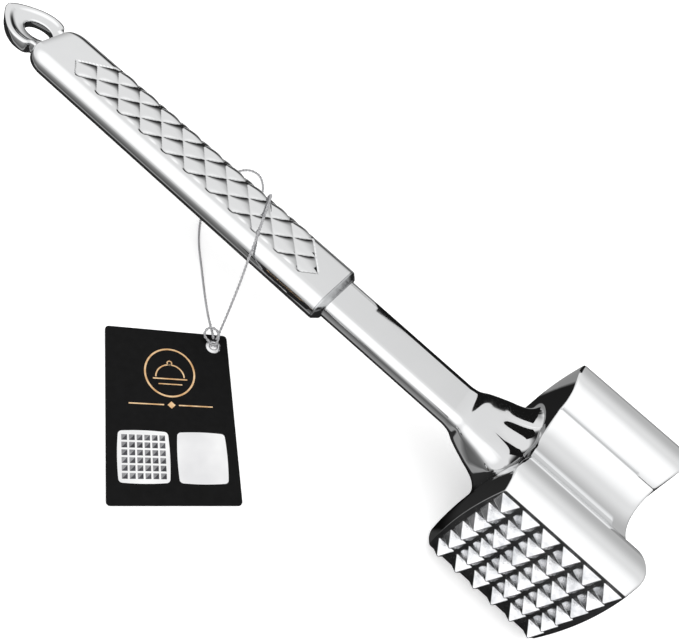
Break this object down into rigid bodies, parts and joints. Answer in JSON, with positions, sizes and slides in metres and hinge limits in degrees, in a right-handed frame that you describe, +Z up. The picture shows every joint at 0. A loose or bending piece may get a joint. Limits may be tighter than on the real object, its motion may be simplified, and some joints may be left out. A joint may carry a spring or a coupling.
{
  "type": "meat mallet",
  "caption": "Chromed meat mallet with a pyramid face and a plain face, a neck and flat shank, a diamond-patterned hollow grip with a hanging loop, and a card tag tied on with a cord.",
  "frame": {"origin": "middle of the mallet's base: the centre of its footprint at the height of the surface that the head lies on, measured without the tag and its cord", "axes": "+X along the handle from the hanging loop towards the head's end; +Y from the pyramid face towards the plain striking face; +Z up, out of the patterned side of the grip"},
  "size_m": [0.2608, 0.1324, 0.049],
  "materials": {
    "chrome": "mirror-bright chrome plate over a smooth casting and pressed steel",
    "satin_steel": "satin grey bevel",
    "grey_plastic": "moulded, unpolished",
    "zinc_steel": "zinc plated",
    "black_card": "black printed card with a satin coat",
    "eyelet_steel": "polished pressed eyelet",
    "cord_fibre": "thin twisted cord with a silver-grey sheen"
  },
  "bodies": {
    "mallet": {"head_casting": "chrome", "front_collar": "satin_steel", "grip_shell_upper": "chrome", "grip_shell_lower": "chrome", "front_spacer": "grey_plastic", "rear_spacer": "grey_plastic", "tang_rod": "zinc_steel", "lock_nut": "zinc_steel", "hanging_loop": "chrome", "tag_cord": "cord_fibre", "cord_knot": "cord_fibre"},
    "tag": {"tag_card": "black_card", "tag_eyelet": "eyelet_steel"}
  },
  "joints": [
    {"name": "tag_swivel", "type": "hinge", "parent": "mallet", "child": "tag", "pos_m": [-0.0034, -0.0258, 0.0006], "axis": [0, 0, 1], "range_deg": [-40, 40]}
  ]
}
